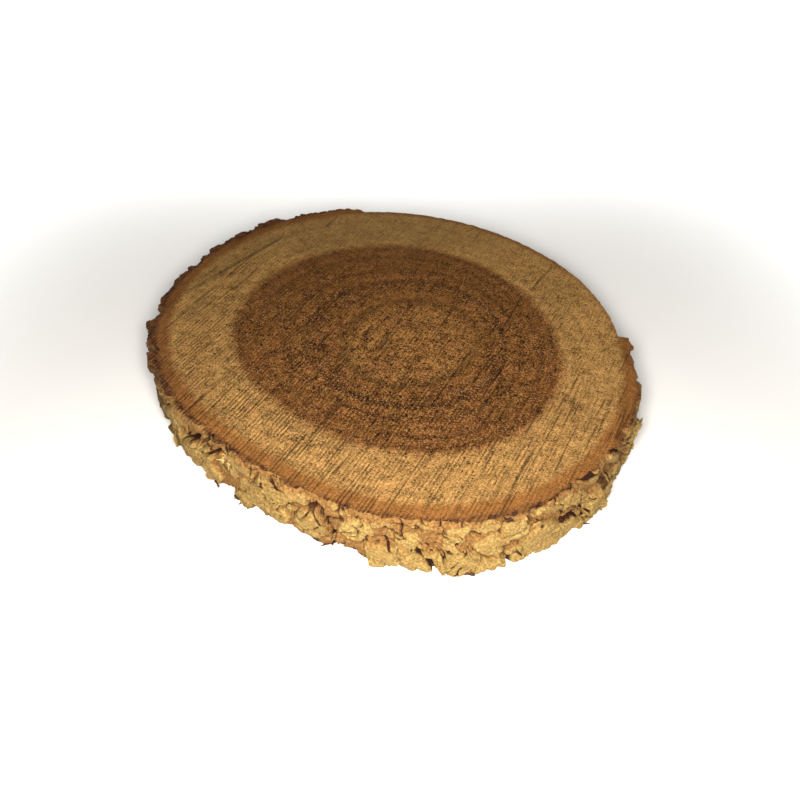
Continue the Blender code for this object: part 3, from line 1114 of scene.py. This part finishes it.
def drum(name, columns, rows, overhang, radius, materials, crowding=0.0):
    """A closed upright drum, a little taller than the slice, with its side shaped by a radius.

    Crowding sets the columns closer together in front than behind.
    """
    shape = bmesh.new()
    depth = THICKNESS + 2 * overhang
    bmesh.ops.create_cone(
        shape, cap_ends=True, segments=columns, radius1=1.0, radius2=1.0, depth=depth
    )
    upright = [edge for edge in shape.edges if edge.verts[0].co.z * edge.verts[1].co.z < 0]
    bmesh.ops.subdivide_edges(shape, edges=upright, cuts=rows - 1)
    bmesh.ops.recalc_face_normals(shape, faces=shape.faces)
    piece = to_object(shape, name, materials)
    x, y, z = points_of(piece.data)
    angle = np.arctan2(y, x)
    angle = angle - crowding * np.sin(angle - FRONT)
    height = z + THICKNESS / 2
    reach = radius(angle, height)
    across = CENTRE_X + reach * np.cos(angle)
    move_points(piece.data, (across, CENTRE_Y + reach * np.sin(angle), height))
    return piece


def sawn_block(name, sizes, face, beyond, cell, seed, materials):
    """A block whose one face is sawn, at the height face, and which reaches to the height beyond."""
    shape = bmesh.new()
    counts = [round(2 * BLOCK_HALF / length) for length in cell]
    bmesh.ops.create_grid(shape, x_segments=counts[0], y_segments=counts[1], size=BLOCK_HALF)
    turn = Matrix.Rotation(sizes.saw_direction, 3, "Z")
    bmesh.ops.rotate(shape, verts=shape.verts, matrix=turn)
    bmesh.ops.translate(shape, verts=shape.verts, vec=(0.0, 0.0, face))
    rim = [edge for edge in shape.edges if edge.is_boundary]
    walls = bmesh.ops.extrude_edge_only(shape, edges=rim)["geom"]
    far = [one for one in walls if isinstance(one, bmesh.types.BMVert)]
    bmesh.ops.translate(shape, verts=far, vec=(0.0, 0.0, beyond - face))
    bmesh.ops.edgeloop_fill(shape, edges=[edge for edge in shape.edges if edge.is_boundary])
    bmesh.ops.recalc_face_normals(shape, faces=shape.faces)
    for flat in shape.faces:
        flat.material_index = 1
    block = to_object(shape, name, materials)
    x, y, z = points_of(block.data)
    on_face = np.flatnonzero(np.abs(z - face) < TOUCHING)
    depth = sawn_depth(x[on_face], y[on_face], sizes, seed)
    z[on_face] += depth * math.copysign(1.0, beyond - face)
    move_points(block.data, (x, y, z))
    return block


def drop_specks(mesh):
    """Takes away the specks that a cut leaves loose beside the piece."""
    shape = bmesh.new()
    shape.from_mesh(mesh)
    left = set(shape.verts)
    specks = []
    while left:
        group = [left.pop()]
        for point in group:
            near = {edge.other_vert(point) for edge in point.link_edges} & left
            left -= near
            group.extend(near)
        if len(group) < SPECK_POINTS:
            specks.extend(group)
    bmesh.ops.delete(shape, geom=specks, context="VERTS")
    shape.to_mesh(mesh)
    shape.free()


def cut(piece, operation, cutters):
    """Cuts a piece by each cutter in turn, and keeps the result as its mesh."""
    for cutter in cutters:
        change = piece.modifiers.new(operation.lower(), "BOOLEAN")
        change.solver = "MANIFOLD"
        change.operation = operation
        change.object = cutter
    bpy.context.view_layer.update()
    ready = piece.evaluated_get(bpy.context.evaluated_depsgraph_get())
    mesh = bpy.data.meshes.new_from_object(ready)
    drop_specks(mesh)
    piece.modifiers.clear()
    piece.data = mesh


def remove(pieces):
    for piece in pieces:
        bpy.data.objects.remove(piece)


def settings_on_bark(rows):
    """Where on the bark each row is, from the angle and height that it starts with.

    Each place is a matrix whose axes run round the rim, up and outwards.
    """
    turns = np.radians([row[0] for row in rows])
    heights = [row[1] * MM for row in rows]
    reaches = bark_radius(turns, np.array(heights))
    found = []
    for turn, reach, height in zip(turns.tolist(), reaches.tolist(), heights):
        stood = Matrix.Rotation(turn + math.pi / 2, 4, "Z") @ Matrix.Rotation(math.pi / 2, 4, "X")
        place = (CENTRE_X + reach * math.cos(turn), CENTRE_Y + reach * math.sin(turn), height)
        found.append(Matrix.Translation(place) @ stood)
    return found


def add_part(shape, part, place):
    """Adds a small shape to a bigger one, moved to its place."""
    bmesh.ops.transform(part, matrix=place, verts=part.verts)
    for vertex in part.verts:
        vertex.co.z = max(vertex.co.z, LOWEST)
    mesh = bpy.data.meshes.new("part")
    part.to_mesh(mesh)
    part.free()
    shape.from_mesh(mesh)
    bpy.data.meshes.remove(mesh)


def flake(width, tallness, curl, seed):
    """One thin flake of bark: a ragged sheet that curls away from the bark at one end."""
    part = bmesh.new()
    bmesh.ops.create_grid(part, x_segments=8, y_segments=5, size=1.0)
    for vertex in part.verts:
        x, y, _ = vertex.co
        ragged = 1 + 0.5 * noise.noise((1.6 * x, 1.6 * y, seed))
        wobble = FLAKE_WOBBLE * noise.noise((3 * x, 3 * y, seed))
        vertex.co.x = x * math.sqrt(1 - 0.4 * y * y) * ragged * width * MM / 2
        vertex.co.y = y * math.sqrt(1 - 0.4 * x * x) * ragged * tallness * MM / 2
        vertex.co.z = curl * MM * ((x + 1) / 2) ** 2 + wobble
    bmesh.ops.solidify(part, geom=part.faces[:], thickness=FLAKE_THICKNESS)
    return part


def add_flakes(shape, rows):
    """Adds the flake of each row: where it is, its width, tallness, turn and curl."""
    for place, (angle, _, width, tallness, turn, curl) in zip(settings_on_bark(rows), rows):
        turned = place @ Matrix.Rotation(math.radians(turn), 4, "Z")
        add_part(shape, flake(width, tallness, curl, angle), turned)


def strand(length, thickness, bend):
    """One splinter or torn fibre, which starts at its place and bends over as it goes."""
    part = bmesh.new()
    bmesh.ops.create_cone(
        part,
        cap_ends=True,
        segments=STRAND_SIDES,
        radius1=thickness * MM,
        radius2=STRAND_TIP * thickness * MM,
        depth=length * MM,
        matrix=Matrix.Translation((0.0, 0.0, length * MM / 2)),
    )
    sides = [one for one in part.edges if abs(one.verts[0].co.z - one.verts[1].co.z) > TOUCHING]
    bmesh.ops.subdivide_edges(part, edges=sides, cuts=STRAND_BENDS)
    for vertex in part.verts:
        vertex.co.x += bend * MM * (vertex.co.z / (length * MM)) ** 2
    return part


def add_strand(shape, part, place, way, root):
    """Adds a splinter or fibre that is rooted at a place on the bark and points its own way."""
    pointed = Vector(way).to_track_quat("Z", "Y").to_matrix().to_4x4()
    add_part(shape, part, place @ Matrix.Translation((0.0, 0.0, -root)) @ pointed)


def measure_face(mesh, sizes):
    """Stores what the sawn face's material reads."""
    x, y, z = points_of(mesh)
    angle, radius = polar(x, y)
    grown = growth(x, y)
    carry(mesh, "growth", grown)
    carry(mesh, "late_wood", late_wood(grown, angle))
    narrower = BAND_SHIFT * smooth_step(2.2 * np.cos(angle - BAND_SHIFT_AT) - 1)
    carry(mesh, "beyond_wood", (radius - wood_radius(angle) - BARE_SKIN - narrower) / MM)
    carry(mesh, "stain", ruled_lines(x, y, STAINS, 1.4, 1.6))
    seeds = np.where(z > THICKNESS / 2, sizes.top_seed, sizes.bottom_seed)
    # The saw marks, which the material darkens as painted shade in the grooves and the crack
    carry(mesh, "mark", saw_marks(x, y, sizes, seeds))
    carry(mesh, "roughness", roughness(x, y))
    carry(mesh, "weathering_and_shade", weathering_and_shade(angle))


def measure_bark(mesh):
    """Stores what the bark's material reads."""
    x, y, z = points_of(mesh)
    angle = polar(x, y)[0]
    _, share, tone, crevice_shade = bark_surface(angle, z)
    ragged = 1.2 * drum_grain(angle, z, JAG_GRAIN)
    carry(mesh, "plate", share * smooth_step((THICKNESS - z) / FRINGE - 0.2 + ragged))
    carry(mesh, "tone", tone)
    # How much painted shade darkens the bark in its crevices, cracks and at plate feet
    carry(mesh, "crevice_shade", crevice_shade)


def dress(piece, sharp_angle):
    """Shades a finished piece and says where it belongs."""
    piece.data.shade_smooth()
    piece.data.set_sharp_from_angle(angle=sharp_angle)
    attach(piece, "root")
    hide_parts(NODE)


def sawn_blocks(sizes, materials):
    """The two cuts of the saw, one above the slice and one below it."""
    top = (sizes.cell_along, sizes.cell_across)
    bottom = (2 * sizes.cell_along, 2 * sizes.cell_across)
    past = THICKNESS + BLOCK_PAST
    return (
        sawn_block("upper_cut", sizes, THICKNESS, -BLOCK_PAST, top, sizes.top_seed, materials),
        sawn_block("lower_cut", sizes, 0.0, past, bottom, sizes.bottom_seed, materials),
    )


def length_property(name, description, millimetres):
    return FloatProperty(name=name, description=description, default=millimetres * MM, unit="LENGTH")


def angle_property(name, description, degrees):
    turn = math.radians(degrees)
    return FloatProperty(name=name, description=description, default=turn, subtype="ANGLE")


def count_property(name, description, number):
    return IntProperty(name=name, description=description, default=number)


def colour_property(name, description, red_green_blue):
    return FloatVectorProperty(
        name=name,
        description=description,
        default=(*red_green_blue, 1.0),
        size=4,
        min=0.0,
        max=1.0,
        subtype="COLOR",
    )


class SliceSizes(bpy.types.PropertyGroup):
    """How the saw left the wood, and how finely the slice is modelled."""

    saw_direction: angle_property("Saw direction", "Which way the saw marks run, from +X", 62)
    saw_spacing: length_property("Saw mark spacing", "From one saw mark to the next", 0.76)
    saw_depth: length_property("Saw mark depth", "How deep the deepest saw marks are", 0.17)
    fuzz: length_property("Torn fibres", "How far torn fibres stand up from the sawn face", 0.09)
    cell_across: length_property("Cell across", "Width of the sawn face's cells, across the marks", 0.17)
    cell_along: length_property("Cell along", "Length of the sawn face's cells, along the marks", 0.70)
    top_seed: count_property("Upper face", "Seed of its saw marks", 2)
    bottom_seed: count_property("Lower face", "Seed of its saw marks", 90)
    bark_columns: count_property("Bark columns", "Columns of the fine bark", 1300)
    bark_rows: count_property("Bark rows", "Rows of the fine bark", 60)
    wood_columns: count_property("Wood columns", "Columns of the bare wood's side", 800)
    wood_rows: count_property("Wood rows", "Rows of the bare wood's side", 16)
    flake_count: count_property("Scattered flakes", "Flakes besides those placed by hand", 60)
    flake_seed: count_property("Flake seed", "Seed of those flakes", 3)


class SliceColours(bpy.types.PropertyGroup):
    """The colours of the wood and the bark."""

    core: colour_property("Core", "The youngest wood round the pith", (0.206, 0.093, 0.024))
    heartwood: colour_property("Heartwood", "The dark heart", (0.138, 0.0565, 0.0135))
    sapwood: colour_property("Sapwood", "The pale wood round the heart", (0.316, 0.174, 0.055))
    blush: colour_property("Blush", "Redder patches in the wood", (0.16, 0.062, 0.020))
    stain: colour_property("Stain", "Dark streaks on the sapwood", (0.09, 0.06, 0.022))
    # The colour of the painted highlights on the torn fibres, partly their own pale colour
    painted_glint: colour_property("Painted glints", "Torn fibres that catch the light", (0.44, 0.27, 0.115))
    inner_bark: colour_property("Inner bark", "The sawn inner bark", (0.215, 0.090, 0.023))
    outer_bark: colour_property("Outer bark", "The sawn outer bark", (0.055, 0.020, 0.011))
    crumbs: colour_property("Crumbs", "Crumbled outer bark", (0.26, 0.145, 0.045))
    # Weathered bark's colour, also painted shade on the back and left, away from the lamp
    weathering_and_shade: colour_property("Weathered and shaded bark", "Old dark bark", (0.055, 0.026, 0.012))
    plate: colour_property("Pale plates", "The palest plates of bark", (0.312, 0.208, 0.067))
    plate_dull: colour_property("Dull plates", "The dullest plates of bark", (0.264, 0.166, 0.052))
    plate_brown: colour_property("Worn plates", "Where a plate's skin has gone", (0.26, 0.142, 0.045))
    ground: colour_property("Ground", "Between the plates", (0.19, 0.088, 0.027))
    ground_pale: colour_property("Pale ground", "Fibres between the plates", (0.24, 0.130, 0.040))
    # The colour of the painted shade deep in the bark, partly the bark's own darker colour
    crevice_shade: colour_property("Crevice shade", "Deep in the bark", (0.030, 0.010, 0.005))
    bare: colour_property("Bare wood", "The side where the bark is gone", (0.20, 0.10, 0.038))
    torn: colour_property("Torn fibres", "Fresh torn fibres", (0.66, 0.49, 0.19))
    splinter: colour_property("Splinters", "Dark splinters of bark", (0.07, 0.035, 0.018))


class SliceStage(bpy.types.PropertyGroup):
    """The camera, the lights and the floor."""

    camera_height: length_property("Camera height", "How far above the upper face it is", 103.7)
    camera_distance: length_property("Camera distance", "How far in front of the middle it is", 130.3)
    camera_side: length_property("Camera to the right", "How far right of the middle it is", 2.15)
    camera_pitch: angle_property("Camera pitch", "How far down the camera looks", 43.5)
    lens: FloatProperty(
        name="Lens", description="Focal length", default=35.46, subtype="DISTANCE_CAMERA"
    )
    key_power: FloatProperty(
        name="Key light", description="Power of the light in front", default=0.475, subtype="POWER"
    )
    sky_strength: FloatProperty(
        name="Sky", description="Strength of the even light all round", default=0.075
    )
    backdrop_power: FloatProperty(
        name="Backdrop lights",
        description="Power of the lights over the floor round the slice, at half a metre up",
        default=100.0,
        subtype="POWER",
    )


class SawnWood(bpy.types.Operator):
    """Models the wood inside the bark, cut by the saw above and below"""

    bl_idname = "wood_slice.sawn_wood"
    bl_label = "Sawn wood"

    def execute(self, context):
        sizes = context.scene.slice_sizes
        colours = context.scene.slice_colours
        materials = (
            material("bare_side", bare_finish, colours),
            material("sawn_face", sawn_finish, sizes, colours),
        )
        columns = sizes.wood_columns
        wood = drum("sawn_wood", columns, sizes.wood_rows, LOG_OVERHANG, bare_radius, materials)
        blocks = sawn_blocks(sizes, materials)
        cut(wood, "INTERSECT", blocks)
        remove(blocks)
        measure_face(wood.data, sizes)
        dress(wood, WOOD_SHARP)
        return {"FINISHED"}


class Bark(bpy.types.Operator):
    """Models the bark as a fine log, sawn with the wood and hollowed by it"""

    bl_idname = "wood_slice.bark"
    bl_label = "Bark"

    def execute(self, context):
        sizes = context.scene.slice_sizes
        colours = context.scene.slice_colours
        materials = (
            material("bark_skin", bark_finish, colours),
            material("sawn_face", sawn_finish, sizes, colours),
        )
        columns = sizes.bark_columns
        rows = sizes.bark_rows
        bark = drum("bark", columns, rows, LOG_OVERHANG, bark_radius, materials, CROWDING)
        columns = sizes.wood_columns
        core = drum("wood_core", columns, sizes.wood_rows, CORE_OVERHANG, bare_radius, materials)
        blocks = sawn_blocks(sizes, materials)
        cut(bark, "INTERSECT", blocks)
        cut(bark, "DIFFERENCE", (core,))
        remove((*blocks, core))
        measure_face(bark.data, sizes)
        measure_bark(bark.data)
        dress(bark, BARK_SHARP)
        return {"FINISHED"}


class BarkFlakes(bpy.types.Operator):
    """Adds thin flakes that curl off the bark, some listed one by one and more scattered between them"""

    bl_idname = "wood_slice.bark_flakes"
    bl_label = "Bark flakes"

    def execute(self, context):
        sizes = context.scene.slice_sizes
        colours = context.scene.slice_colours
        draw = random.Random(sizes.flake_seed)
        first = math.degrees(BARE_END) + FLAKE_FROM_BREAK
        last = 360 + math.degrees(BARE_START) - FLAKE_FROM_BREAK
        rows = list(FLAKES)
        for _ in range(sizes.flake_count):
            angle = draw.uniform(first, last)
            width = draw.uniform(*FLAKE_WIDTHS)
            tallness = width * draw.uniform(*FLAKE_SHAPES)
            turn = draw.choice((0, 180)) + draw.uniform(*FLAKE_TURNS)
            curl = draw.uniform(*FLAKE_CURLS)
            rows.append((angle, draw.uniform(*FLAKE_HEIGHTS), width, tallness, turn, curl))
        shape = bmesh.new()
        add_flakes(shape, rows)
        flakes = to_object(shape, "bark_flakes", (material("bark_skin", bark_finish, colours),))
        x, y, z = points_of(flakes.data)
        around = polar(x, y)[0]
        carry(flakes.data, "plate", np.ones_like(x))
        carry(flakes.data, "tone", 0.5 + drum_grain(around, z, EDGE_GRAIN))
        carry(flakes.data, "weathering_and_shade", weathering_and_shade(around))
        dress(flakes, BARK_SHARP)
        return {"FINISHED"}


class Splinters(bpy.types.Operator):
    """Adds dark splinters and chips at the edges of the bark"""

    bl_idname = "wood_slice.splinters"
    bl_label = "Splinters"

    def execute(self, context):
        dark = context.scene.slice_colours.splinter[:]
        shape = bmesh.new()
        for place, (_, _, run, thickness, way) in zip(settings_on_bark(SPLINTERS), SPLINTERS):
            add_strand(shape, strand(run, thickness, SPLINTER_BEND), place, way, SPLINTER_ROOT)
        add_flakes(shape, EDGE_CHIPS)
        finish = material("splinter", plain_finish, "splinter", dark, 0.3, SPLINTER_BUMP)
        dress(to_object(shape, "bark_splinters", (finish,)), BARK_SHARP)
        return {"FINISHED"}


class TornFibres(bpy.types.Operator):
    """Adds the tuft of bright torn fibres on the left of the bark"""

    bl_idname = "wood_slice.torn_fibres"
    bl_label = "Torn fibres"

    def execute(self, context):
        bright = context.scene.slice_colours.torn[:]
        draw = random.Random(TUFT_SEED)
        angles = [draw.uniform(*TUFT_ANGLES) for _ in range(TUFT_COUNT)]
        heights = [draw.uniform(*TUFT_HEIGHTS) for _ in range(TUFT_COUNT)]
        shape = bmesh.new()
        for place in settings_on_bark(list(zip(angles, heights))):
            way = (draw.uniform(-1, 1), draw.uniform(-0.8, 1), draw.uniform(0.1, 0.7))
            run = draw.uniform(*TUFT_LENGTHS)
            thickness = draw.uniform(*TUFT_THICKNESSES)
            fibre = strand(run, thickness, draw.uniform(*TUFT_BENDS))
            add_strand(shape, fibre, place, way, TUFT_ROOT)
        finish = material("torn_fibre", plain_finish, "torn_fibre", bright, 0.4, TUFT_BUMP)
        dress(to_object(shape, "torn_fibres", (finish,)), BARK_SHARP)
        return {"FINISHED"}


class Stage(bpy.types.Operator):
    """Sets the floor, the lights and the camera"""

    bl_idname = "wood_slice.stage"
    bl_label = "Stage"

    def execute(self, context):
        stage = context.scene.slice_stage
        self.floor(context)
        self.lights(context, stage)
        self.camera(context, stage)
        context.scene.view_settings.view_transform = "Standard"
        return {"FINISHED"}

    def floor(self, context):
        shape = bmesh.new()
        bmesh.ops.create_grid(shape, x_segments=1, y_segments=1, size=FLOOR_HALF)
        finish = Finish("pale_floor", 0.7, 0.3)
        finish.shader.inputs["Base Color"].default_value = FLOOR_COLOUR
        floor = to_object(shape, "floor", (finish.material,))

    def lights(self, context, stage):
        key = bpy.data.lights.new("key", "AREA")
        key.energy = stage.key_power
        key.size = KEY_SIZE
        key.color = KEY_COLOUR
        lamp = bpy.data.objects.new("key", key)
        lamp.location = KEY_PLACE
        lamp.rotation_euler = KEY_TURN
        context.scene.collection.objects.link(lamp)
        for place in POOL_PLACES:
            pool = bpy.data.lights.new("backdrop", "SPOT")
            pool.energy = stage.backdrop_power * (place[2] / POOL_HEIGHT) ** 2
            pool.spot_size = POOL_ANGLE
            pool.spot_blend = 1.0
            pool.shadow_soft_size = POOL_SIZE
            lamp = bpy.data.objects.new("backdrop", pool)
            lamp.location = place
            context.scene.collection.objects.link(lamp)
        world = bpy.data.worlds.new("sky")
        world.use_nodes = True
        back = world.node_tree.nodes["Background"]
        back.inputs["Color"].default_value = SKY_COLOUR
        back.inputs["Strength"].default_value = stage.sky_strength
        context.scene.world = world

    def camera(self, context, stage):
        data = bpy.data.cameras.new("camera")
        data.lens = stage.lens
        data.sensor_width = SENSOR_WIDTH
        data.clip_start = NEAREST_SEEN
        camera = bpy.data.objects.new("camera", data)
        camera.location = (
            CENTRE_X + stage.camera_side,
            CENTRE_Y - stage.camera_distance,
            THICKNESS + stage.camera_height,
        )
        camera.rotation_euler = (math.pi / 2 - stage.camera_pitch, 0.0, 0.0)
        context.scene.collection.objects.link(camera)
        context.scene.camera = camera


class SlicePanel(bpy.types.Panel):
    """The pieces of the wood slice and what can be changed about them"""

    bl_idname = "VIEW3D_PT_wood_slice"
    bl_label = "Wood slice"
    bl_space_type = "VIEW_3D"
    bl_region_type = "UI"
    bl_category = "Wood slice"

    def draw(self, context):
        for group in (
            context.scene.slice_sizes,
            context.scene.slice_colours,
            context.scene.slice_stage,
        ):
            box = self.layout.box()
            for name in group.bl_rna.properties.keys():
                if name not in {"rna_type", "name"}:
                    box.prop(group, name)
        for operator in OPERATORS:
            self.layout.operator(operator.bl_idname)


GROUPS = {
    "slice_sizes": SliceSizes,
    "slice_colours": SliceColours,
    "slice_stage": SliceStage,
}
OPERATORS = (SawnWood, Bark, BarkFlakes, Splinters, TornFibres, Stage)


def register():
    for group in GROUPS.values():
        bpy.utils.register_class(group)
    for name, group in GROUPS.items():
        setattr(bpy.types.Scene, name, PointerProperty(type=group))
    for operator in OPERATORS:
        bpy.utils.register_class(operator)
    bpy.utils.register_class(SlicePanel)


def unregister():
    bpy.utils.unregister_class(SlicePanel)
    for operator in reversed(OPERATORS):
        bpy.utils.unregister_class(operator)
    for name in GROUPS:
        delattr(bpy.types.Scene, name)
    for group in reversed(GROUPS.values()):
        bpy.utils.unregister_class(group)


def main():
    """Makes every piece in order."""
    register()
    bpy.ops.wood_slice.sawn_wood()
    bpy.ops.wood_slice.bark()
    bpy.ops.wood_slice.bark_flakes()
    bpy.ops.wood_slice.splinters()
    bpy.ops.wood_slice.torn_fibres()
    bpy.ops.wood_slice.stage()


if __name__ == "__main__":
    main()
